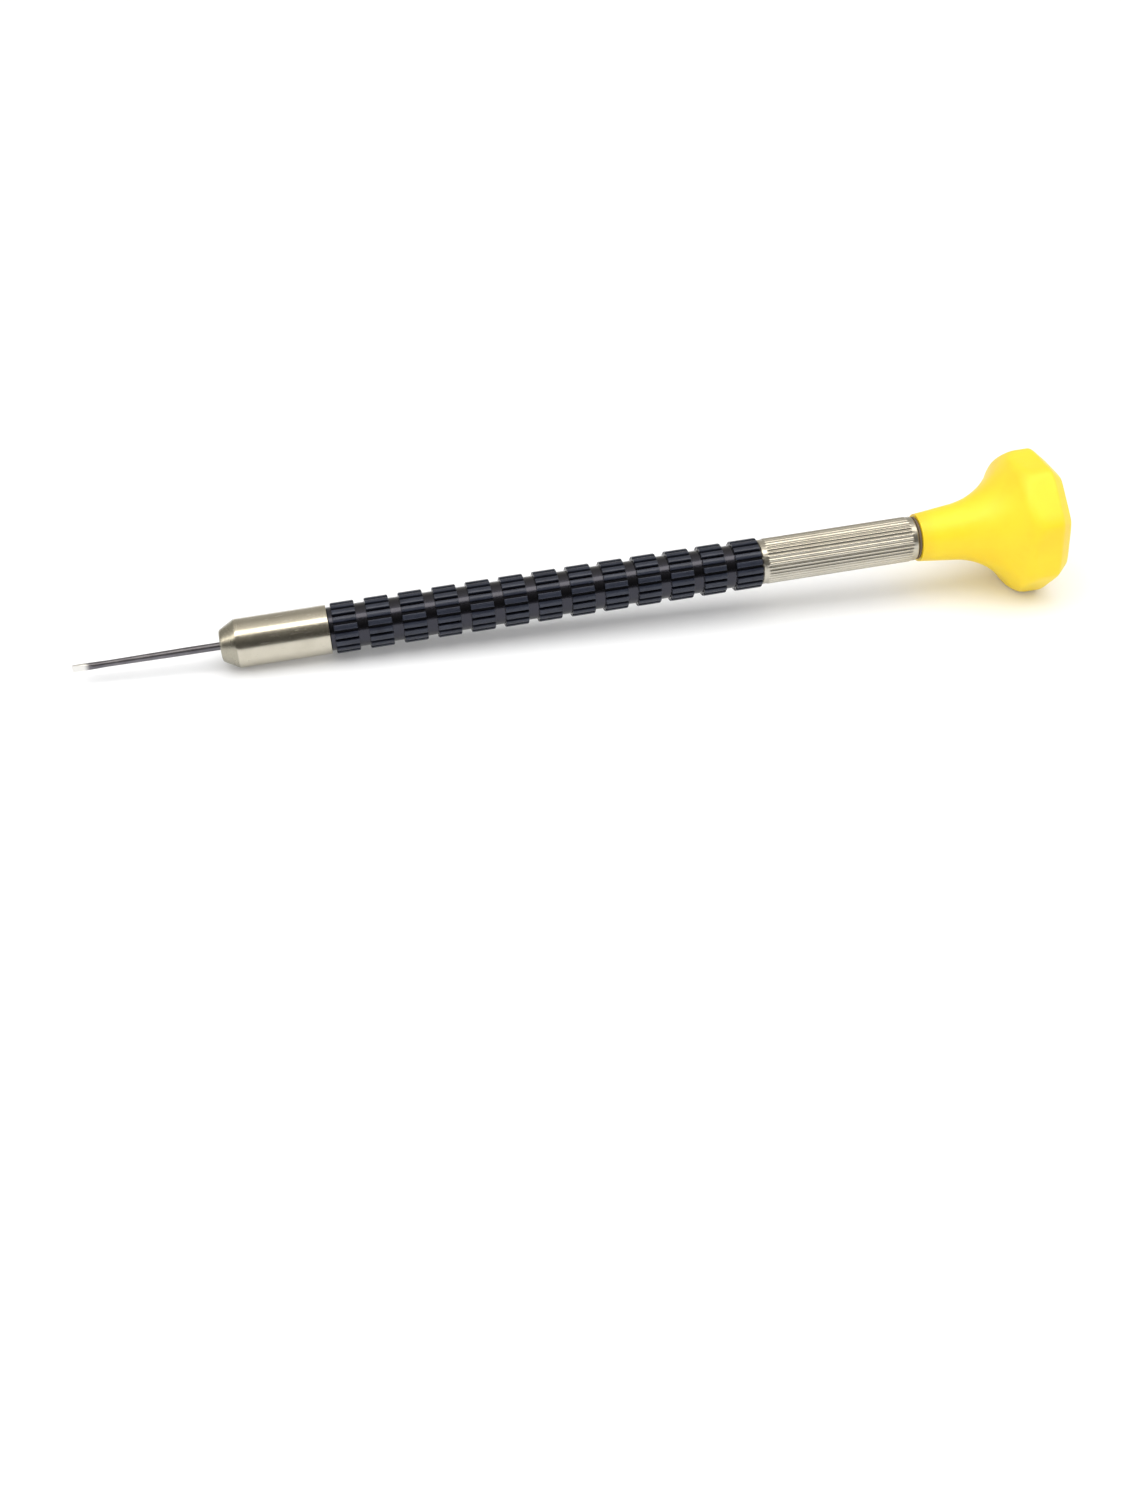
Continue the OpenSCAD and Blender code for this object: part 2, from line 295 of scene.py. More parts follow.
class Term:
    """A socket that takes part in expressions on numbers."""

    def __init__(self, tree: "Tree", socket: bpy.types.NodeSocket) -> None:
        """Wraps a socket of a tree."""
        self.tree = tree
        self.socket = socket

    def _math(self, operation: str, first: Value, second: Value) -> "Term":
        """Adds one Math node."""
        return self.tree.node(self.tree.math_kind, {"operation": operation}, {0: first, 1: second})

    def __add__(self, other: Value) -> "Term":
        """Adds."""
        return self._math("ADD", self, other)

    def __radd__(self, other: Value) -> "Term":
        """Adds, from the right."""
        return self._math("ADD", other, self)

    def __sub__(self, other: Value) -> "Term":
        """Subtracts."""
        return self._math("SUBTRACT", self, other)

    def __rsub__(self, other: Value) -> "Term":
        """Subtracts, from the right."""
        return self._math("SUBTRACT", other, self)

    def __mul__(self, other: Value) -> "Term":
        """Multiplies."""
        return self._math("MULTIPLY", self, other)

    def __rmul__(self, other: Value) -> "Term":
        """Multiplies, from the right."""
        return self._math("MULTIPLY", other, self)

    def __truediv__(self, other: Value) -> "Term":
        """Divides."""
        return self._math("DIVIDE", self, other)

    def above(self, limit: Value) -> "Term":
        """Gives 1 where this is greater than the limit, and 0 elsewhere."""
        return self._math("GREATER_THAN", self, limit)

    def greatest(self, other: Value) -> "Term":
        """Gives the greater of the two."""
        return self._math("MAXIMUM", self, other)

    def least(self, other: Value) -> "Term":
        """Gives the smaller of the two."""
        return self._math("MINIMUM", self, other)

    def function(self, operation: str) -> "Term":
        """Applies a Math operation that takes one number, such as SINE."""
        return self.tree.node(self.tree.math_kind, {"operation": operation}, {0: self})


class Tree:
    """A node tree that is being built."""

    math_kind = "ShaderNodeMath"

    def __init__(self, nodes: bpy.types.NodeTree) -> None:
        """Starts on an existing tree."""
        self.nodes = nodes

    def node(
        self, kind: str, settings: dict | None = None, inputs: dict | None = None, out: int | str = 0
    ) -> Term:
        """Adds one node.

        Args:
            kind: The node's type.
            settings: Its settings, and for a colour ramp its "stops" as position and colour.
            inputs: Numbers, vectors or terms for its sockets, by name or by number.
            out: The output to return, by name or by number.

        Returns:
            The output as a term.
        """
        made = self.nodes.nodes.new(kind)
        for key, value in (settings or {}).items():
            if key == "stops":
                self._stops(made.color_ramp, value)
            else:
                setattr(made, key, value)
        for key, value in (inputs or {}).items():
            if isinstance(value, Term):
                self.nodes.links.new(value.socket, made.inputs[key])
            else:
                made.inputs[key].default_value = value
        return Term(self, made.outputs[out]) if made.outputs else Term(self, made.inputs[0])

    def split(self, vector: Term) -> tuple[Term, ...]:
        """Gives a vector's x, y and z."""
        parts = self.node("ShaderNodeSeparateXYZ", {}, {0: vector})
        return tuple(Term(self, socket) for socket in parts.socket.node.outputs)

    @staticmethod
    def _stops(ramp: bpy.types.ColorRamp, stops: Sequence[tuple[float, Sequence[float]]]) -> None:
        """Sets the stops of a colour ramp."""
        while len(ramp.elements) < len(stops):
            ramp.elements.new(0.5)
        for element, (position, colour) in zip(ramp.elements, stops):
            element.position, element.color = position, (*colour[:3], 1.0)


class SurfaceTree(Tree):
    """The node tree of one finish, with the tool's own coordinates at hand."""

    def __init__(self, name: str, axis: ToolAxis) -> None:
        """Starts a material.

        Args:
            name: The material's name.
            axis: The tool's axis, on which the patterns lie.
        """
        self.material = bpy.data.materials.new(name)
        self.material.use_nodes = True
        super().__init__(self.material.node_tree)
        self.nodes.nodes.clear()
        place = self.node("ShaderNodeTexCoord", out="Object")
        turned = axis.matrix().to_3x3().transposed()
        inputs = {"Vector": place, "Rotation": turned.to_euler("XYZ"), "Location": -(turned @ axis.foot)}
        self.place = self.node("ShaderNodeMapping", {"vector_type": "POINT"}, inputs)
        self.x, self.y, self.z = self.split(self.place)

    def off_axis(self) -> Term:
        """Gives the distance from the tool's axis."""
        return (self.x * self.x + self.y * self.y).function("SQRT")

    def noise(
        self, scale: float, detail: float = 3.0, vector: Term | None = None, roughness: float = 0.5
    ) -> Term:
        """Gives a noise between 0 and 1.

        Args:
            scale: The number of blobs per unit of the vector.
            detail: The number of finer layers.
            vector: Where to read it; the tool's coordinates if left out.
            roughness: The strength of the finer layers.

        Returns:
            The noise.
        """
        where = vector or self.place
        inputs = {"Vector": where, "Scale": scale, "Detail": detail, "Roughness": roughness}
        return self.node("ShaderNodeTexNoise", {"noise_dimensions": "3D"}, inputs)

    def drawn(self, scale: Span, detail: float = 4.0, roughness: float = 0.6) -> Term:
        """Gives a noise that is drawn out along the tool or across it.

        Args:
            scale: Its scale across the axis and along it, per metre.
            detail: The number of finer layers.
            roughness: The strength of the finer layers.

        Returns:
            The noise.
        """
        across, along = scale
        inputs = {0: self.place, 1: (across, across, along)}
        where = self.node("ShaderNodeVectorMath", {"operation": "MULTIPLY"}, inputs)
        return self.noise(1.0, detail, where, roughness)

    def turning_lines(self, per_metre: float, seed: float) -> Term:
        """Gives the fine lines that a lathe tool leaves round a turned piece."""
        across = self.off_axis() * (per_metre * ACROSS_SHARE)
        stations = self.node("ShaderNodeCombineXYZ", inputs={0: seed, 1: across, 2: self.z * per_metre})
        return self.noise(1.0, 4.0, stations, 0.65)

    def ramp(self, value: Term, low: float, high: float) -> Term:
        """Maps a range of a number smoothly on to 0 to 1."""
        inputs = {"Value": value, "From Min": low, "From Max": high, "To Min": 0.0, "To Max": 1.0}
        return self.node("ShaderNodeMapRange", {"interpolation_type": "SMOOTHSTEP"}, inputs)

    def mix(self, factor: Value, first: Sequence[float] | Term, second: Sequence[float] | Term) -> Term:
        """Mixes two colours.

        Args:
            factor: 0 for the first and 1 for the second.
            first: A colour as red, green and blue, or a term.
            second: Another.

        Returns:
            The mixed colour.
        """
        made = self.nodes.nodes.new("ShaderNodeMix")
        made.data_type = "RGBA"
        for socket, value in ((made.inputs[0], factor), (made.inputs[6], first), (made.inputs[7], second)):
            if isinstance(value, Term):
                self.nodes.links.new(value.socket, socket)
            elif isinstance(value, (int, float)):
                socket.default_value = value
            else:
                socket.default_value = (*value, 1.0)
        return Term(self, made.outputs[2])

    def bump(self, height: Term, depth: float, strength: float = 1.0, under: Term | None = None) -> Term:
        """Turns a height into a bumped normal.

        Args:
            height: The height, from 0 to 1.
            depth: The height of 1, in metres.
            strength: The share of the bump that is used.
            under: A normal that this one lies on.

        Returns:
            The normal.
        """
        inputs = {"Height": height, "Distance": depth, "Strength": strength}
        if under:
            inputs["Normal"] = under
        return self.node("ShaderNodeBump", {}, inputs)

    def finish(self, **sockets: Value) -> bpy.types.Material:
        """Adds the shader and ends the tree.

        Args:
            **sockets: The shader's sockets, with underscores for spaces.

        Returns:
            The material.
        """
        inputs = {name.replace("_", " "): value for name, value in sockets.items()}
        shader = self.node("ShaderNodeBsdfPrincipled", {}, inputs)
        self.node("ShaderNodeOutputMaterial", {}, {"Surface": shader})
        return self.material


# ---------------------------------------------------------------- finishes


@dataclass(frozen=True)
class PlatedNickel:
    """Bright nickel plate over turned brass, with faint turning lines, wear and finger marks, and painted
    shade on the chamfer cone.
    """

    name: str = "nickel_plate"
    bright: Colour = (0.60, 0.565, 0.475)
    dull: Colour = (0.49, 0.455, 0.37)
    roughness: float = 0.17
    lines_per_metre: float = 9000.0
    line_depth: float = 0.0012 * MM
    seed: float = 3.0
    marks_per_metre: float = 420.0
    marks_range: Span = (0.42, 0.72)
    scratch_scale: Span = (9000.0, 500.0)
    scratch_range: Span = (0.66, 0.72)
    scratch_depth: float = 0.0015 * MM
    cone_end: float = 0.0
    cone_blend: Span = (0.12 * MM, 0.05 * MM)
    # Painted shade: the dark colour that the chamfer cone is mixed towards stands in for the dark
    # surroundings the cone mirrors.
    cone_painted_shade: Colour = (0.36, 0.34, 0.275)

    def make(self, axis: ToolAxis) -> bpy.types.Material:
        """Builds the material on the tool's axis."""
        t = SurfaceTree(self.name, axis)
        lines = t.turning_lines(self.lines_per_metre, self.seed)
        marks = t.ramp(t.noise(self.marks_per_metre), *self.marks_range)
        scratches = t.ramp(t.drawn(self.scratch_scale, 2.0, 0.5), *self.scratch_range)
        before, after = self.cone_blend
        cone = 1 - t.ramp(t.z, self.cone_end - before, self.cone_end + after)
        colour = t.mix(marks * 0.35 + (1 - lines) * 0.25, self.bright, self.dull)
        # Painted shade: the chamfer cone is darkened, standing in for the dark surroundings that it mirrors.
        colour = t.mix(cone * (0.75 + lines * 0.2), colour, self.cone_painted_shade)
        rough = self.roughness + cone * 0.05 + lines * 0.07 + marks * 0.06 + scratches * 0.12
        normal = t.bump(lines, self.line_depth)
        normal = t.bump(1 - scratches, self.scratch_depth, 0.6, normal)
        return t.finish(Base_Color=colour, Metallic=1.0, Roughness=rough, Normal=normal)


@dataclass(frozen=True)
class FlutedNickel:
    """Nickel plate on the fluted barrel: bright crests, and valleys darkened with painted shade."""

    crest: float
    valley: float
    name: str = "fluted_nickel"
    bright: Colour = (0.68, 0.65, 0.57)
    # The dull colour serves both the finger marks and the painted shade in the valleys.
    dull: Colour = (0.40, 0.37, 0.31)
    roughness: float = 0.20
    drawn_scale: Span = (16000.0, 420.0)
    drawn_depth: float = 0.002 * MM
    marks_per_metre: float = 380.0
    marks_range: Span = (0.4, 0.75)

    def make(self, axis: ToolAxis) -> bpy.types.Material:
        """Builds the material on the tool's axis."""
        t = SurfaceTree(self.name, axis)
        depth = 1 - t.ramp(t.off_axis(), self.valley, self.crest)
        drawn = t.drawn(self.drawn_scale)
        marks = t.ramp(t.noise(self.marks_per_metre), *self.marks_range)
        # Painted shade: the valleys are mixed towards the dull colour by their depth; the finger marks and
        # drawn lines add real wear on top.
        colour = t.mix((depth * 0.7 + marks * 0.2 + drawn * 0.15).least(1.0), self.bright, self.dull)
        rough = self.roughness + depth * 0.16 + marks * 0.06 + drawn * 0.06
        normal = t.bump(drawn, self.drawn_depth)
        return t.finish(Base_Color=colour, Metallic=1.0, Roughness=rough, Normal=normal)


@dataclass(frozen=True)
class BlackedMetal:
    """Blue-black finish of the grip: drawn streaks on the pads, worn edges, dusty grooves."""

    crest: float
    floor: float
    name: str = "blacked_grip"
    body: Colour = (0.0075, 0.0085, 0.015)
    worn: Colour = (0.031, 0.036, 0.054)
    dust: Colour = (0.012, 0.012, 0.015)
    polished: Colour = (0.034, 0.034, 0.046)
    roughness: float = 0.24
    refraction: float = 1.45
    coat: float = 0.45
    coat_roughness: float = 0.08
    streak_scale: Span = (14000.0, 700.0)
    streak_depth: float = 0.006 * MM
    patches_per_metre: float = 900.0
    wear_range: Span = (0.62, 0.98)
    dust_range: Span = (0.35, 0.7)
    groove_range: Span = (0.02, 0.3)
    grain_per_metre: float = 9000.0
    grain_depth: float = 0.002 * MM

    def make(self, axis: ToolAxis) -> bpy.types.Material:
        """Builds the material on the tool's axis."""
        t = SurfaceTree(self.name, axis)
        height = t.ramp(t.off_axis(), self.floor, self.crest)
        streaks = t.drawn(self.streak_scale, roughness=0.65)
        patches = t.noise(self.patches_per_metre)
        wear = t.ramp(height * 0.55 + streaks * 0.35 + patches * 0.3, *self.wear_range)
        dusty = (1 - height) * t.ramp(patches, *self.dust_range)
        groove = 1 - t.ramp(height, *self.groove_range)
        colour = t.mix(dusty * 0.5, t.mix(wear, self.body, self.worn), self.dust)
        colour = t.mix(groove, colour, self.polished)
        rough = self.roughness + streaks * 0.14 - wear * 0.05 - groove * 0.1
        normal = t.bump(streaks, self.streak_depth)
        normal = t.bump(t.noise(self.grain_per_metre, 2.0), self.grain_depth, 0.7, normal)
        return t.finish(
            Base_Color=colour,
            Metallic=0.2 + groove * 0.8,
            Roughness=rough,
            Normal=normal,
            IOR=self.refraction,
            Coat_Weight=groove * self.coat,
            Coat_Roughness=self.coat_roughness,
        )


@dataclass(frozen=True)
class MouldedYellow:
    """Yellow moulded plastic: satin skin, faint flow marks and a little grime in the neck."""

    name: str = "yellow_plastic"
    body: Colour = (0.98, 0.735, 0.018)
    deep: Colour = (0.96, 0.67, 0.014)
    grime: Colour = (0.85, 0.54, 0.02)
    roughness: float = 0.36
    refraction: float = 1.48
    light_inside: float = 0.12
    light_reach: Colour = (1.0, 0.6, 0.12)
    flow_scale: Span = (260.0, 140.0)
    flow_range: Span = (0.3, 0.75)
    flow_depth: float = 0.05 * MM
    grain_per_metre: float = 9500.0
    grain_depth: float = 0.0035 * MM
    wear_per_metre: float = 700.0
    wear_range: Span = (0.55, 0.8)
    neck_reach: float = 2.2 * MM
    neck_at: float = 0.0

    def make(self, axis: ToolAxis) -> bpy.types.Material:
        """Builds the material on the tool's axis."""
        t = SurfaceTree(self.name, axis)
        flow = t.drawn(self.flow_scale, 3.0, 0.5)
        grain = t.noise(self.grain_per_metre, 2.0)
        wear = t.ramp(t.noise(self.wear_per_metre, 4.0), *self.wear_range)
        neck = 1 - t.ramp(t.z, self.neck_at, self.neck_at + self.neck_reach)
        colour = t.mix(t.ramp(flow, *self.flow_range), self.body, self.deep)
        colour = t.mix(neck * (0.25 + grain * 0.5), colour, self.grime)
        rough = self.roughness + grain * 0.08 + wear * 0.08
        normal = t.bump(grain, self.grain_depth)
        normal = t.bump(flow, self.flow_depth, 0.5, normal)
        return t.finish(
            Base_Color=colour,
            Roughness=rough,
            Normal=normal,
            IOR=self.refraction,
            Subsurface_Weight=self.light_inside,
            Subsurface_Radius=self.light_reach,
            Subsurface_Scale=MM,
        )


@dataclass(frozen=True)
class GroundSteel:
    """Hardened blade steel: drawn lines on the shank, cross-ground and bright at the tip."""

    name: str = "blade_steel"
    shank: Colour = (0.13, 0.125, 0.14)
    tempered: Colour = (0.26, 0.25, 0.265)
    ground: Colour = (0.86, 0.85, 0.82)
    ground_to: float = 1.7 * MM
    ground_blend: Span = (0.7, 1.15)
    roughness: float = 0.34
    drawn_scale: Span = (22000.0, 600.0)
    crossed_scale: Span = (1500.0, 42000.0)
    heat_per_metre: float = 500.0
    heat_range: Span = (0.35, 0.7)
    depth: float = 0.0016 * MM

    def make(self, axis: ToolAxis) -> bpy.types.Material:
        """Builds the material on the tool's axis."""
        t = SurfaceTree(self.name, axis)
        tip = 1 - t.ramp(t.z, *(self.ground_to * share for share in self.ground_blend))
        drawn, crossed = t.drawn(self.drawn_scale), t.drawn(self.crossed_scale)
        heat = t.ramp(t.noise(self.heat_per_metre), *self.heat_range)
        colour = t.mix(tip, t.mix(heat * 0.5 + drawn * 0.3, self.shank, self.tempered), self.ground)
        rough = self.roughness + drawn * (1 - tip) * 0.12 + crossed * tip * 0.22
        height = drawn * (1 - tip) + crossed * tip
        normal = t.bump(height, self.depth)
        return t.finish(Base_Color=colour, Metallic=1.0, Roughness=rough, Normal=normal)


@dataclass(frozen=True)
class TurnedMetal:
    """Plain turned metal of a small inner piece: turning lines and a mottled tint."""

    name: str
    bright: Colour
    dull: Colour
    roughness: float = 0.3
    metallic: float = 1.0
    lines_per_metre: float = 14000.0
    seed: float = 7.0
    mottle_per_metre: float = 1500.0
    depth: float = 0.002 * MM

    def make(self, axis: ToolAxis) -> bpy.types.Material:
        """Builds the material on the tool's axis."""
        t = SurfaceTree(self.name, axis)
        lines = t.turning_lines(self.lines_per_metre, self.seed)
        mottle = t.noise(self.mottle_per_metre)
        colour = t.mix(lines * 0.4 + mottle * 0.5, self.bright, self.dull)
        rough = self.roughness + lines * 0.1 + mottle * 0.08
        normal = t.bump(lines, self.depth)
        return t.finish(Base_Color=colour, Metallic=self.metallic, Roughness=rough, Normal=normal)


# ---------------------------------------------------------------- geometry node tools


class GeometryTree(Tree):
    """A Geometry Nodes tree with named inputs."""

    def __init__(self, name: str, inputs: dict[str, tuple[str, Value]]) -> None:
        """Starts a tree.

        Args:
            name: The tree's name.
            inputs: For each input its socket type and its value.
        """
        group = bpy.data.node_groups.new(name, "GeometryNodeTree")
        super().__init__(group)
        self.group = group
        self.values = {}
        group.interface.new_socket("Geometry", in_out="INPUT", socket_type="NodeSocketGeometry")
        for label, (kind, value) in inputs.items():
            socket = group.interface.new_socket(label, in_out="INPUT", socket_type=kind)
            self.values[socket.identifier] = value
        group.interface.new_socket("Geometry", in_out="OUTPUT", socket_type="NodeSocketGeometry")
        self.start = group.nodes.new("NodeGroupInput")

    def given(self, label: str) -> Term:
        """Gives one of the tree's inputs."""
        return Term(self, self.start.outputs[label])

    def turned(self, angle: Term) -> Term:
        """Gives a turn round the axis, from its angle in radians."""
        euler = self.node("ShaderNodeCombineXYZ", {}, {2: angle})
        return self.node("FunctionNodeEulerToRotation", {}, {0: euler})

    def join(self, *parts: Term) -> Term:
        """Joins several geometries."""
        joined = self.node("GeometryNodeJoinGeometry")
        for part in parts:
            self.nodes.links.new(part.socket, joined.socket.node.inputs[0])
        return joined

    def end(self, instances: Term, axis: ToolAxis) -> None:
        """Lays the instances along the tool's axis, adds them to what is given and ends the tree.

        Args:
            instances: What repeats, in the axis's own coordinates.
            axis: The tool's axis.
        """
        place = axis.matrix()
        inputs = {
            "Geometry": self.node("GeometryNodeRealizeInstances", {}, {0: instances}),
            "Translation": place.to_translation(),
            "Rotation": place.to_euler(),
        }
        both = self.join(self.given("Geometry"), self.node("GeometryNodeTransform", {}, inputs))
        real = self.node("GeometryNodeRealizeInstances", {}, {0: both})
        welded = self.node("GeometryNodeMergeByDistance", {}, {"Geometry": real, "Distance": WELD})
        finish = {"Geometry": welded, "Material": self.given("Finish")}
        self.node("NodeGroupOutput", {}, {0: self.node("GeometryNodeSetMaterial", {}, finish)})

    def run(self, obj: bpy.types.Object) -> bpy.types.Object:
        """Runs the tree on an object and keeps the result as a plain mesh.

        Args:
            obj: The object whose mesh goes into the tree.

        Returns:
            The same object, with the finished mesh and no modifier.
        """
        modifier = obj.modifiers.new(self.group.name, "NODES")
        modifier.node_group = self.group
        for identifier, value in self.values.items():
            modifier[identifier] = value
        graph = bpy.context.evaluated_depsgraph_get()
        mesh = bpy.data.meshes.new_from_object(obj.evaluated_get(graph), depsgraph=graph)
        obj.modifiers.remove(modifier)
        old, obj.data = obj.data, mesh
        mesh.name = obj.name
        bpy.data.meshes.remove(old)
        return obj


def wrap(t: Tree, angle: Term, radius: Term, station: Term) -> Term:
    """Gives the point at an angle in radians, a radius and a station."""
    x, y = radius * angle.function("COSINE"), radius * angle.function("SINE")
    return t.node("ShaderNodeCombineXYZ", {}, {0: x, 1: y, 2: station})


# ---------------------------------------------------------------- the tool's sub-assemblies


class Body(Enum):
    """The bodies that the finished pieces ride on."""

    HANDLE = "body"
    HEAD = "head"
    BLADE = "blade"


class Slot(Enum):
    """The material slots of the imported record."""

    BLADE = "blade_steel"
    NOSE = "nickel_nose"
    GRIP = "black_grip"
    BARREL = "nickel_barrel"
    HEAD = "yellow_head"
    WASHER = "black_washer"


def settle(obj: bpy.types.Object, material: bpy.types.Material, body: Body, node: str) -> None:
    """Dresses a finished piece and hands it to the frame.

    Args:
        obj: The piece.
        material: Its finish.
        body: The body it rides on.
        node: The CAD node that it stands for.
    """
    obj.data.materials.clear()
    obj.data.materials.append(material)
    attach(obj, body.value)
    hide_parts(node)
    LOG.info("%s: %d faces, for %s", obj.name, len(obj.data.polygons), node)


def dress(node: str, material: bpy.types.Material) -> None:
    """Gives a CAD node that stays its finish."""
    data = frame["nodes"][node].data
    data.materials.clear()
    data.materials.append(material)
    LOG.info("%s keeps its CAD shape", node)


@dataclass
class Blade:
    """The driving blade: a round shank, a waist, and two ground flats at the edge."""

    axis: ToolAxis
    finish: GroundSteel
    edge_width: float = 0.8 * MM
    edge_thickness: float = 0.16 * MM
    edge_end: float = 1.36 * MM
    grind_length: float = 3.4 * MM
    grind_reach: float = 0.51 * MM
    waist_width: float = 0.7 * MM
    waist_at: float = 3.74 * MM
    taper_end: float = 11.925 * MM
    shank_width: float = 0.85 * MM
    bevel: float = 0.1 * MM
    least_flat: float = 0.985
    arc_points: int = 14
    ring_step: float = 0.12 * MM
    shank_rings: int = 24
    sharp: float = 18.0

    def outline(self, station: float, end: float) -> float:
        """Gives the round blade's radius at a station."""
        stations = (0.0, self.edge_end, self.waist_at, self.taper_end, end - self.bevel, end)
        shank = (self.shank_width, self.shank_width, self.shank_width - 2 * self.bevel)
        widths = (self.edge_width, self.edge_width, self.waist_width, *shank)
        return float(np.interp(station, stations, widths)) / 2

    def ring(self, station: float, end: float) -> list[Point]:
        """Gives the outline of one cross-section, with its two flats.

        Args:
            station: The station along the axis.
            end: The blade's last station.

        Returns:
            The points, as x, y and station.
        """
        radius = self.outline(station, end)
        reaches = (self.edge_thickness / 2, self.grind_reach)
        half = float(np.interp(station, (0.0, self.grind_length), reaches))
        turn = math.asin(min(half / radius, self.least_flat))
        round_part = np.linspace(-turn, turn, self.arc_points)
        flat_x = np.linspace(1, -1, self.arc_points)[1:-1] * radius * math.cos(turn)
        flat_y = radius * math.sin(turn)
        right = [(radius * math.cos(a), radius * math.sin(a), station) for a in round_part]
        left = [(-x, -y, station) for x, y, _ in right]
        upper = [(x, flat_y, station) for x in flat_x]
        return right + upper + left + [(-x, -y, station) for x, y, _ in upper]

    def build(self) -> None:
        """Builds the blade and dresses it."""
        end = self.axis.span("blade")[1]
        near = np.arange(0, self.taper_end, self.ring_step)
        stations = [*near, *np.linspace(self.taper_end, end - self.bevel, self.shank_rings), end]
        rings = [self.ring(float(s), end) for s in stations]
        segments = len(rings[0])
        vertices = [point for ring in rings for point in ring]
        faces = sweep_faces(len(rings), segments, False)
        faces += [tuple(range(segments)), tuple(range(len(vertices) - segments, len(vertices)))]
        blade = new_object("driving_blade", vertices, faces, self.axis)
        shade(blade, self.sharp)
        settle(blade, self.finish.make(self.axis), Body.BLADE, "blade")


@dataclass
class Nose:
    """The plated nose with its bores, and the clamp screw in its far side."""

    axis: ToolAxis
    screw_finish: TurnedMetal
    cone_length: float = 1.8 * MM
    cone_depth: float = 1.0 * MM
    edge_round: float = 0.25 * MM
    shoulder_round: float = 0.22 * MM
    rear_round: float = 0.06 * MM
    blade_bore: float = 0.455 * MM
    blade_bore_depth: float = 6.4 * MM
    core_bore: float = 1.52 * MM
    core_bore_depth: float = 3.45 * MM
    mouth_bevel: float = 0.09 * MM
    clamp_clearance: float = 0.03 * MM
    clamp_floor: float = 0.02 * MM
    ring_step: float = 0.22 * MM
    segments: int = 160
    hole_segments: int = 72
    sharp: float = 28.0

    def profile(self) -> list[Span]:
        """Gives the nose's outline, from the blade's bore round to the core's bore."""
        start, end = self.axis.span("nose")
        radius = self.axis.radius("nose")
        face = radius - self.cone_depth
        corners = [
            (0.0, start + self.blade_bore_depth),
            (self.blade_bore, start + self.blade_bore_depth),
            (self.blade_bore, start + self.mouth_bevel),
            (self.blade_bore + self.mouth_bevel, start),
            (face, start),
            (radius, start + self.cone_length),
            (radius, end),
            (self.core_bore, end),
            (self.core_bore, end - self.core_bore_depth),
            (0.0, end - self.core_bore_depth),
        ]
        rounds = {4: self.edge_round, 5: self.shoulder_round, 6: self.rear_round}
        return refine(fillet(corners, rounds), self.ring_step)

    def bore_clamp(self, nose: bpy.types.Object) -> None:
        """Cuts the clamp screw's hole into the far side of the nose.

        Args:
            nose: The nose without its hole.
        """
        points = self.axis.local("clamp_screw")
        station = float(points[:, 2].min() + points[:, 2].max()) / 2
        radius = float(np.ptp(points[:, 2])) / 2 + self.clamp_clearance
        around = self.hole_segments
        turns = np.arange(around) * FULL_TURN / around
        circle = [(radius * math.cos(a), station + radius * math.sin(a)) for a in turns]
        outside = 2 * self.axis.radius("nose")
        points = [(x, y, z) for y in (self.clamp_floor, outside) for x, z in circle]
        faces = sweep_faces(2, around, False) + [tuple(range(around)), tuple(range(around, 2 * around))]
        cutter = new_object("clamp_hole", points, faces, self.axis)
        cut = nose.modifiers.new("clamp_hole", "BOOLEAN")
        cut.operation, cut.solver, cut.object = "DIFFERENCE", "EXACT", cutter
        graph = bpy.context.evaluated_depsgraph_get()
        mesh = bpy.data.meshes.new_from_object(nose.evaluated_get(graph), depsgraph=graph)
        nose.modifiers.remove(cut)
        nose.data = mesh
        bpy.data.objects.remove(cutter)

    def build(self) -> None:
        """Builds the nose and dresses it and its screw."""
        nose = lathe("nose_piece", self.profile(), self.axis, self.segments)
        self.bore_clamp(nose)
        shade(nose, self.sharp)
        finish = PlatedNickel(cone_end=self.axis.span("nose")[0] + self.cone_length)
        settle(nose, finish.make(self.axis), Body.HANDLE, "nose")
        dress("clamp_screw", self.screw_finish.make(self.axis))


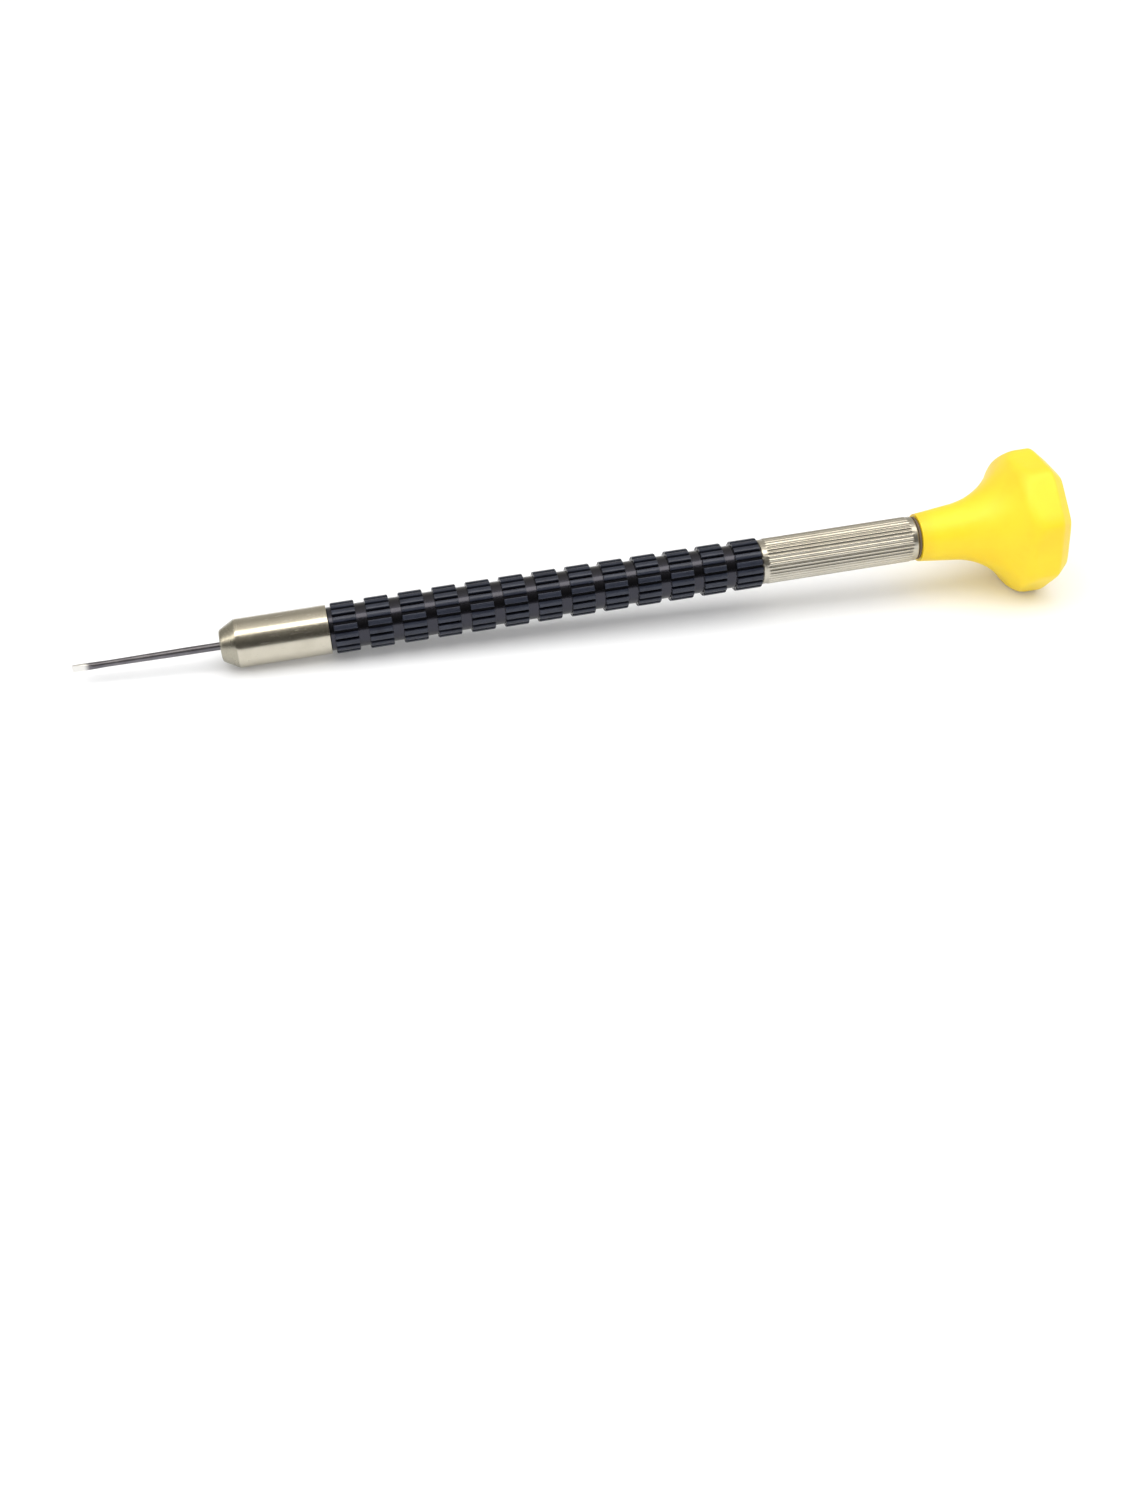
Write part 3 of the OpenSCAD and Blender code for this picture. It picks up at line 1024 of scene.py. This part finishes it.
@dataclass
class Grip:
    """The black grip: a tube with rings of pads, parted by grooves and slots."""

    axis: ToolAxis
    rings: int = 13
    slots: int = 18
    pitch: float = 3.75 * MM
    ring_length: float = 2.6 * MM
    last_length: float = 3.0 * MM
    collar: float = 0.5 * MM
    slot_width: float = 0.34 * MM
    floor: float = 2.4 * MM
    bore: float = 1.52 * MM
    pad_round: float = 0.13 * MM
    edge_share: float = 0.3
    root: float = 0.05 * MM
    end_bevel: float = 0.08 * MM
    segments: int = 108
    sharp: float = 38.0
    ring_step: float = 0.9 * MM

    def tube(self) -> bpy.types.Object:
        """Turns the tube under the pads."""
        start, end = self.axis.span("grip_sleeve")
        corners = [
            (self.bore, start),
            (self.floor - self.end_bevel, start),
            (self.floor, start + self.end_bevel),
            (self.floor, end - self.end_bevel),
            (self.floor - self.end_bevel, end),
            (self.bore, end),
            (self.bore, start),
        ]
        return lathe("grip_pads", refine(corners, self.ring_step)[:-1], self.axis, self.segments)

    def pad(self, t: GeometryTree) -> Term:
        """Shapes one pad round the axis, with its front edge at station 0.

        Args:
            t: The tree to build it in.

        Returns:
            The pad's geometry.
        """
        sides = {"Size": (1.0, 1.0, 1.0), "Vertices X": 4, "Vertices Y": 4, "Vertices Z": 3}
        box = t.node("GeometryNodeMeshCube", {}, sides, "Mesh")
        across, along, up = t.split(t.node("GeometryNodeInputPosition"))
        soft = t.given("Round")
        top, floor = up.above(0.25), 1 - up.above(-0.25)
        at_side = across.function("ABSOLUTE").above(0.4)
        at_end = along.function("ABSOLUTE").above(0.4)
        edge = at_side.greatest(at_end)
        half_width = t.given("Crest") * math.pi / t.given("Slots") - t.given("Slot Width") * 0.5
        half_length = t.given("Ring Length") * 0.5
        inset = soft * self.edge_share * top
        wide = at_side * (half_width - inset) + (1 - at_side) * (half_width - soft)
        long = at_end * (half_length - inset) + (1 - at_end) * (half_length - soft)
        width, length = across.function("SIGN") * wide, along.function("SIGN") * long
        crest = t.given("Crest") - (1 - top) * soft - top * edge * soft * self.edge_share
        radius = floor * (t.given("Floor") - t.given("Root")) + (1 - floor) * crest
        angle = (width / radius).function("ARCTANGENT")
        point = wrap(t, angle, radius, length + half_length)
        return t.node("GeometryNodeSetPosition", {}, {"Geometry": box, "Position": point})

    def tree(self, material: bpy.types.Material) -> GeometryTree:
        """Builds the tree that sets the pads round the tube.

        Args:
            material: The finish of the whole grip.

        Returns:
            The tree.
        """
        number, length = "NodeSocketInt", "NodeSocketFloat"
        start = self.axis.span("grip_sleeve")[0]
        crest = self.axis.radius("grip_sleeve")
        t = GeometryTree(
            "grip_pads",
            {
                "Rings": (number, self.rings),
                "Slots": (number, self.slots),
                "Pitch": (length, self.pitch),
                "Start": (length, start + self.collar),
                "Ring Length": (length, self.ring_length),
                "Last Length": (length, self.last_length),
                "Slot Width": (length, self.slot_width),
                "Crest": (length, crest),
                "Floor": (length, self.floor),
                "Root": (length, self.root),
                "Round": (length, self.pad_round),
                "Finish": ("NodeSocketMaterial", material),
            },
        )
        index = t.node("GeometryNodeInputIndex")
        slots, rings = t.given("Slots"), t.given("Rings")
        ring = (index / slots + 0.5 / self.slots).function("FLOOR")
        turn = (index - ring * slots) * FULL_TURN / slots
        station = t.given("Start") + ring * t.given("Pitch")
        last = ring.above(rings - 1.5)
        stretch = 1 + last * (t.given("Last Length") / t.given("Ring Length") - 1)
        place = t.node("ShaderNodeCombineXYZ", {}, {2: station})
        points = t.node("GeometryNodePoints", {}, {"Count": slots * rings, "Position": place})
        scale = t.node("ShaderNodeCombineXYZ", {}, {0: 1.0, 1: 1.0, 2: stretch})
        repeated = {"Points": points, "Instance": self.pad(t), "Rotation": t.turned(turn), "Scale": scale}
        pads = t.node("GeometryNodeInstanceOnPoints", {}, repeated)
        t.end(pads, self.axis)
        return t

    def build(self) -> None:
        """Builds the grip and dresses it."""
        material = BlackedMetal(self.axis.radius("grip_sleeve"), self.floor).make(self.axis)
        grip = self.tree(material).run(self.tube())
        shade(grip, self.sharp)
        settle(grip, material, Body.HANDLE, "grip_sleeve")


@dataclass
class RearBarrel:
    """The plated barrel behind the grip, with fine flutes between two plain collars."""

    axis: ToolAxis
    washer_finish: TurnedMetal
    flutes: int = 36
    flute_depth: float = 0.12 * MM
    collar: float = 0.7 * MM
    run_out: float = 0.22 * MM
    blend_share: float = 0.4
    corner_round: float = 0.08 * MM
    washer_round: float = 0.06 * MM
    gap_closed: float = 0.004 * MM
    bevel: float = 0.2 * MM
    bore: float = 1.52 * MM
    stud_bore: float = 1.02 * MM
    segments: int = 216
    washer_segments: int = 96
    sharp: float = 40.0

    def collars(self) -> bpy.types.Object:
        """Turns the two collars and the inside, as one open shell between the flutes' ends."""
        start, end = self.axis.span("rear_barrel")
        radius = self.axis.radius("rear_barrel") - self.flute_depth / 2
        face, middle = radius - self.bevel, (start + end) / 2
        front = [(self.bore, start), (face, start)]
        front += [(radius, start + self.bevel), (radius, start + self.collar)]
        back = [(radius, end - self.collar), (radius, end - self.bevel), (face, end), (self.stud_bore, end)]
        inside = [(self.stud_bore, middle), (self.bore, middle)]
        rounds = {1: self.corner_round, 2: self.corner_round}
        profile = fillet(back, rounds) + inside + fillet(front, rounds)
        angles = np.arange(self.segments) * FULL_TURN / self.segments
        vertices = [(r * math.cos(a), r * math.sin(a), z) for r, z in profile for a in angles]
        faces = sweep_faces(len(profile), self.segments, False)
        return new_object("rear_barrel_shell", vertices, faces, self.axis)

    def tree(self, material: bpy.types.Material) -> GeometryTree:
        """Builds the tree that sets the flutes round the barrel.

        Args:
            material: The finish of the whole barrel.

        Returns:
            The tree.
        """
        number, length = "NodeSocketInt", "NodeSocketFloat"
        start, end = self.axis.span("rear_barrel")
        t = GeometryTree(
            "barrel_flutes",
            {
                "Flutes": (number, self.flutes),
                "Start": (length, start + self.collar),
                "Length": (length, end - start - 2 * self.collar),
                "Run Out": (length, self.run_out),
                "Crest": (length, self.axis.radius("rear_barrel")),
                "Depth": (length, self.flute_depth),
                "Finish": ("NodeSocketMaterial", material),
            },
        )
        sides = {"Size X": 1.0, "Size Y": 1.0, "Vertices X": 7, "Vertices Y": 6}
        strip = t.node("GeometryNodeMeshGrid", {}, sides, "Mesh")
        across, from_middle, _ = t.split(t.node("GeometryNodeInputPosition"))
        along = from_middle + 0.5
        blend = (along.least(1 - along) / self.blend_share).least(1.0)
        behind = along.above(0.5)
        run_out = blend * t.given("Run Out")
        station = t.given("Start") + run_out + behind * (t.given("Length") - 2 * run_out)
        wave = 0.5 - 0.5 * (across * FULL_TURN).function("COSINE")
        fall = blend * wave + (1 - blend) * 0.5
        radius = t.given("Crest") - t.given("Depth") * fall
        point = wrap(t, across * FULL_TURN / t.given("Flutes"), radius, station)
        flute = t.node("GeometryNodeSetPosition", {}, {"Geometry": strip, "Position": point})
        turn = t.node("GeometryNodeInputIndex") * FULL_TURN / t.given("Flutes")
        points = t.node("GeometryNodePoints", {}, {"Count": t.given("Flutes")})
        repeated = {"Points": points, "Instance": flute, "Rotation": t.turned(turn)}
        flutes = t.node("GeometryNodeInstanceOnPoints", {}, repeated)
        t.end(flutes, self.axis)
        return t

    def close(self, barrel: bpy.types.Object) -> None:
        """Welds the flutes to the collars and turns every face outwards.

        Args:
            barrel: The barrel.
        """
        work = bmesh.new()
        work.from_mesh(barrel.data)
        bmesh.ops.remove_doubles(work, verts=work.verts, dist=self.gap_closed)
        bmesh.ops.recalc_face_normals(work, faces=work.faces)
        LOG.info("open edges on the barrel: %d", sum(e.is_boundary for e in work.edges))
        work.to_mesh(barrel.data)
        work.free()

    def build(self) -> None:
        """Builds the barrel and its washer and dresses them."""
        crest = self.axis.radius("rear_barrel")
        material = FlutedNickel(crest, crest - self.flute_depth).make(self.axis)
        barrel = self.tree(material).run(self.collars())
        self.close(barrel)
        shade(barrel, self.sharp)
        settle(barrel, material, Body.HANDLE, "rear_barrel")
        start, end = self.axis.span("head_washer")
        points = self.axis.local("head_washer")
        radii = np.hypot(points[:, 0], points[:, 1])
        outer, inner = float(radii.max()), float(radii.min())
        corners = [(inner, start), (outer, start), (outer, end), (inner, end), (inner, start)]
        rounded = fillet(corners, {1: self.washer_round, 2: self.washer_round})
        washer = lathe("head_washer_ring", rounded[:-1], self.axis, self.washer_segments)
        shade(washer, self.sharp)
        settle(washer, self.washer_finish.make(self.axis), Body.HANDLE, "head_washer")


@dataclass
class SwivelHead:
    """The moulded finger rest: a flared neck, an eight-sided rim and a hollow for the fingertip."""

    axis: ToolAxis
    flats: int = 8
    apothem: float = 7.7 * MM
    neck_front: float = 2.7 * MM
    neck_back: float = 3.2 * MM
    neck_length: float = 4.4 * MM
    flare: float = 8.4 * MM
    shoulder: float = 2.6 * MM
    rim_length: float = 1.3 * MM
    back_bevel: float = 1.1 * MM
    back_round: float = 0.8 * MM
    dish: float = 4.8 * MM
    dish_depth: float = 0.6 * MM
    lip_width: float = 0.25 * MM
    lip_drop: float = 0.02 * MM
    lip_share: float = 0.96
    bush_bore: float = 1.82 * MM
    clip_bore: float = 1.46 * MM
    ball_bore: float = 0.93 * MM
    ball_gap: float = 0.03 * MM
    clip_gap: float = 0.05 * MM
    flat_blend: float = 0.30 * MM
    segments: int = 256
    sharp: float = 32.0
    ring_step: float = 0.17 * MM

    def outside(self, start: float, end: float, rim: float) -> list[Span]:
        """Gives the turned outline, from the neck's front to the middle of the hollow.

        Args:
            start: The head's first station.
            end: The head's last station.
            rim: The rim's radius.

        Returns:
            The outline as radius and station.
        """
        slope = math.degrees(math.atan((self.neck_back - self.neck_front) / self.neck_length))
        out, forward = (self.flare * f(math.radians(slope)) for f in (math.cos, math.sin))
        rise = rim - self.neck_back
        turn = math.degrees(math.acos((out + self.shoulder - rise) / (self.flare + self.shoulder)))
        centre = (self.neck_back + out, start + self.neck_length - forward)
        rim_at = end - self.back_bevel - self.back_round - self.rim_length
        back_r = rim - self.back_bevel - self.back_round
        outline = [(self.neck_front, start)]
        outline += arc(centre, self.flare, 180 - slope, 180 - turn, 40)
        outline += arc((rim - self.shoulder, rim_at), self.shoulder, -turn, 0, 14)
        outline += arc((rim - self.back_round, rim_at + self.rim_length), self.back_round, 0, 45, 6)
        outline += arc((back_r, end - self.back_round), self.back_round, 45, 90, 6)
        dish_r = (self.dish**2 + self.dish_depth**2) / (2 * self.dish_depth)
        lip = [(self.dish + self.lip_width, end), (self.dish, end - self.lip_drop)]
        across = [self.dish * share for share in np.linspace(self.lip_share, 0.0, 24)]
        floor = end - self.dish_depth + dish_r
        hollow = [(r, floor - math.sqrt(dish_r**2 - r**2)) for r in across]
        return refine(outline + lip + hollow, self.ring_step)

    def bore(self, start: float) -> list[Span]:
        """Gives the stepped bore, from its bottom out to the neck's front."""
        nodes = ("bearing_bush", "retaining_ring", "thrust_ball")
        bush, clip, ball = (self.axis.span(node)[1] for node in nodes)
        bottom, clip_end = ball + self.ball_gap, clip + self.clip_gap
        angles = np.linspace(0, math.pi / 2, 10)
        steps = [(self.ball_bore * math.sin(a), bottom - self.ball_bore * (1 - math.cos(a))) for a in angles]
        steps += [(self.ball_bore, clip_end), (self.clip_bore, clip_end)]
        return steps + [(self.clip_bore, bush), (self.bush_bore, bush), (self.bush_bore, start)]

    def limit(self, angle: np.ndarray) -> np.ndarray:
        """Gives the octagon's radius at each angle."""
        step = FULL_TURN / self.flats
        return self.apothem / np.cos((angle + step / 2) % step - step / 2)

    def build(self) -> None:
        """Builds the head and dresses it."""
        start, end = self.axis.span("swivel_head")
        rim = self.axis.radius("swivel_head")
        angles = np.arange(self.segments) * FULL_TURN / self.segments
        edge = self.limit(angles)
        rim_end = end - self.back_bevel - self.back_round
        vertices: list[Point] = []
        profile = self.bore(start) + self.outside(start, end, rim)
        for radius, station in profile:
            behind_rim = rim_end < station and radius > self.dish
            flat = edge * radius / rim if behind_rim else edge
            near = np.clip(self.flat_blend - np.abs(radius - flat), 0, None) / self.flat_blend
            radii = np.minimum(radius, flat) - near**2 * self.flat_blend / 4
            vertices += [(r * math.cos(a), r * math.sin(a), station) for r, a in zip(radii, angles)]
        faces = sweep_faces(len(profile), self.segments, False)
        head = new_object("finger_head", vertices, faces, self.axis)
        shade(head, self.sharp)
        finish = MouldedYellow(neck_at=start)
        settle(head, finish.make(self.axis), Body.HEAD, "swivel_head")


@dataclass
class SwivelBearing:
    """The inner pieces on which the head turns, and the rod that ties the handle together."""

    axis: ToolAxis

    def build(self) -> None:
        """Dresses the inner CAD pieces."""
        steel = TurnedMetal("bright_steel", (0.62, 0.61, 0.60), (0.45, 0.44, 0.43), 0.26)
        brass = TurnedMetal("turned_brass", (0.80, 0.58, 0.24), (0.62, 0.42, 0.16), 0.3)
        spring = TurnedMetal("spring_steel", (0.22, 0.22, 0.24), (0.13, 0.13, 0.15), 0.34)
        plain = steel.make(self.axis)
        for node in ("core_rod", "pivot_stud", "thrust_ball"):
            dress(node, plain)
        dress("bearing_bush", brass.make(self.axis))
        dress("retaining_ring", spring.make(self.axis))


# ---------------------------------------------------------------- the studio


SQUARE = ((-1, -1), (1, -1), (1, 1), (-1, 1))


@dataclass
class Studio:
    """A white table, soft lamps, grey screens for the metal to mirror, and the camera."""

    ambient: float = 0.54
    overhead_power: float = 21.5
    fill_power: float = 4.5
    table_half: float = 2.5
    table_glow: float = 0.10
    table_colour: Colour = (0.86, 0.86, 0.86)
    white_from: float = 0.25
    white_to: float = 0.9
    screen_distance: float = 0.9
    screen_reach: float = 3.0
    screen_strips: int = 13
    screen_tint: Colour = (1.0, 0.96, 0.88)
    camera_place: Point = (-35.216 * MM, -170.742 * MM, 104.973 * MM)
    azimuth: float = 11.039
    elevation: float = 34.990
    roll: float = -0.439
    focal_length: float = 43.11
    film_width: float = 36.0
    clip: Span = (0.01, 20.0)

    def sees_background(self, t: Tree) -> Term:
        """Gives 1 for a ray that shows the background: straight, mirrored or let through."""
        camera = t.node("ShaderNodeLightPath", out="Is Camera Ray")
        glossy = t.node("ShaderNodeLightPath", out="Is Glossy Ray")
        through = t.node("ShaderNodeLightPath", out="Is Transmission Ray")
        return camera.greatest(glossy).greatest(through)

    def glare(self, t: Tree) -> Term:
        """Gives white where the background is seen, and the softer strength where it lights."""
        return self.sees_background(t) * (1 - self.ambient) + self.ambient

    def stage_piece(
        self, name: str, vertices: Sequence[Sequence[float]], faces: Sequence[Sequence[int]]
    ) -> tuple[bpy.types.Object, Tree]:
        """Starts a piece of the studio.

        Args:
            name: The piece's name.
            vertices: Its points.
            faces: Its faces, as lists of point numbers.

        Returns:
            The piece, and the empty tree of its material.
        """
        mesh = bpy.data.meshes.new(name)
        mesh.from_pydata(vertices, [], faces)
        piece = bpy.data.objects.new(name, mesh)
        bpy.context.scene.collection.objects.link(piece)
        material = bpy.data.materials.new(name)
        material.use_nodes = True
        material.node_tree.nodes.clear()
        mesh.materials.append(material)
        return piece, Tree(material.node_tree)

    def world(self) -> None:
        """Sets the world: white where it is seen, and softer where it lights."""
        world = bpy.data.worlds.new("studio")
        bpy.context.scene.world = world
        world.use_nodes = True
        t = Tree(world.node_tree)
        world.node_tree.nodes.clear()
        light = {"Color": (1.0, 1.0, 1.0, 1.0), "Strength": self.glare(t)}
        back = t.node("ShaderNodeBackground", {}, light)
        t.node("ShaderNodeOutputWorld", {}, {"Surface": back})

    def table(self) -> None:
        """Lays the white table that keeps the tool's shadow."""
        corners = [(x * self.table_half, y * self.table_half, 0.0) for x, y in SQUARE]
        _, t = self.stage_piece("table", corners, [(0, 1, 2, 3)])
        paper = t.node("ShaderNodeBsdfDiffuse", {}, {"Color": (*self.table_colour, 1.0)})
        glow = t.node("ShaderNodeEmission", {}, {"Strength": self.sees_background(t) * self.table_glow})
        near = t.node("ShaderNodeAddShader", {}, {0: paper, 1: glow})
        far = t.node("ShaderNodeEmission", {}, {"Strength": self.glare(t)})
        place = t.node("ShaderNodeTexCoord", {}, {}, out="Object")
        distance = t.node("ShaderNodeVectorMath", {"operation": "LENGTH"}, {0: place}, out="Value")
        fade = (distance - self.white_from) / (self.white_to - self.white_from)
        faded = {0: fade.greatest(0.0).least(1.0), 1: near, 2: far}
        t.node("ShaderNodeOutputMaterial", {}, {"Surface": t.node("ShaderNodeMixShader", {}, faded)})

    def screen(self, name: str, angles: Span, greys: Span) -> None:
        """Stands a screen that is curved round the tool's length and that only its gloss sees.

        Args:
            name: The screen's name.
            angles: Its two long edges in degrees, from -Y upwards.
            greys: Its brightness at those edges.
        """
        far, reach, strips = self.screen_distance, self.screen_reach, self.screen_strips
        vertices = []
        for a in np.radians(np.linspace(*angles, strips + 1)):
            vertices += [(x, -far * math.cos(a), far * math.sin(a)) for x in (-reach, reach)]
        faces = [(2 * r, 2 * r + 1, 2 * r + 3, 2 * r + 2) for r in range(strips)]
        screen, t = self.stage_piece(name, vertices, faces)
        tones = screen.data.color_attributes.new(name="tone", type="FLOAT_COLOR", domain="POINT")
        for i, grey in enumerate(np.repeat(np.linspace(*greys, strips + 1), 2)):
            tones.data[i].color = (*(grey * share for share in self.screen_tint), 1.0)
        tone = t.node("ShaderNodeAttribute", {"attribute_name": "tone"}, out="Color")
        light = t.node("ShaderNodeEmission", {}, {"Color": tone})
        t.node("ShaderNodeOutputMaterial", {}, {"Surface": light})
        screen.visible_camera = screen.visible_diffuse = screen.visible_shadow = False
        screen.visible_transmission = screen.visible_volume_scatter = False

    def lamp(
        self, name: str, place: Point, size: Span, power: float
    ) -> None:
        """Hangs a soft lamp that faces the tool and that the metal doesn't mirror.

        Args:
            name: The lamp's name.
            place: Where it hangs.
            size: Its width and height.
            power: Its power in watts.
        """
        data = bpy.data.lights.new(name, "AREA")
        data.shape, data.size, data.size_y, data.energy = "RECTANGLE", *size, power
        lamp = bpy.data.objects.new(name, data)
        lamp.location = place
        lamp.rotation_euler = (-Vector(place)).to_track_quat("-Z", "Y").to_euler()
        lamp.visible_glossy = False
        bpy.context.scene.collection.objects.link(lamp)

    def camera(self) -> None:
        """Sets up the camera."""
        az, el, roll = (math.radians(v) for v in (self.azimuth, self.elevation, self.roll))
        look = Vector((math.sin(az) * math.cos(el), math.cos(az) * math.cos(el), -math.sin(el)))
        right = Vector((math.cos(az), -math.sin(az), 0.0))
        up = right.cross(look)
        turned_right = right * math.cos(roll) + up * math.sin(roll)
        turned_up = up * math.cos(roll) - right * math.sin(roll)
        data = bpy.data.cameras.new("camera")
        data.lens, data.sensor_width = self.focal_length, self.film_width
        data.clip_start, data.clip_end = self.clip
        camera = bpy.data.objects.new("camera", data)
        turn = Matrix((turned_right, turned_up, -look)).transposed().to_4x4()
        camera.matrix_world = Matrix.Translation(Vector(self.camera_place)) @ turn
        bpy.context.scene.collection.objects.link(camera)
        bpy.context.scene.camera = camera

    def build(self) -> None:
        """Builds the whole studio."""
        bpy.context.scene.view_settings.view_transform = "Standard"
        self.camera()
        self.world()
        self.table()
        self.screen("low_screen", (-1.0, 24.0), (0.10, 0.08))
        self.screen("front_screen", (24.0, 65.0), (0.08, 0.26))
        self.screen("bright_screen", (67.0, 88.0), (3.4, 3.8))
        self.screen("ceiling_screen", (92.0, 135.0), (0.98, 0.46))
        self.screen("rear_screen", (135.0, 176.0), (0.46, 0.55))
        self.lamp("overhead", (0.0, -0.15, 1.25), (3.0, 1.4), self.overhead_power)
        self.lamp("fill", (-0.7, -1.3, 0.55), (1.2, 0.8), self.fill_power)


def main() -> None:
    """Builds the tool and the studio in order and reports each piece."""
    logging.basicConfig(level=logging.INFO, format="%(message)s")
    axis = ToolAxis.from_frame("head_swivel")
    Studio().build()
    grub = TurnedMetal("clamp_steel", (0.30, 0.30, 0.30), (0.17, 0.17, 0.18), 0.34)
    fibre = TurnedMetal("brown_fibre", (0.17, 0.125, 0.085), (0.10, 0.072, 0.05), 0.5, 0.0)
    Blade(axis, GroundSteel()).build()
    Nose(axis, grub).build()
    Grip(axis).build()
    RearBarrel(axis, fibre).build()
    SwivelHead(axis).build()
    SwivelBearing(axis).build()
    bpy.context.view_layer.update()


if __name__ == "__main__":
    main()
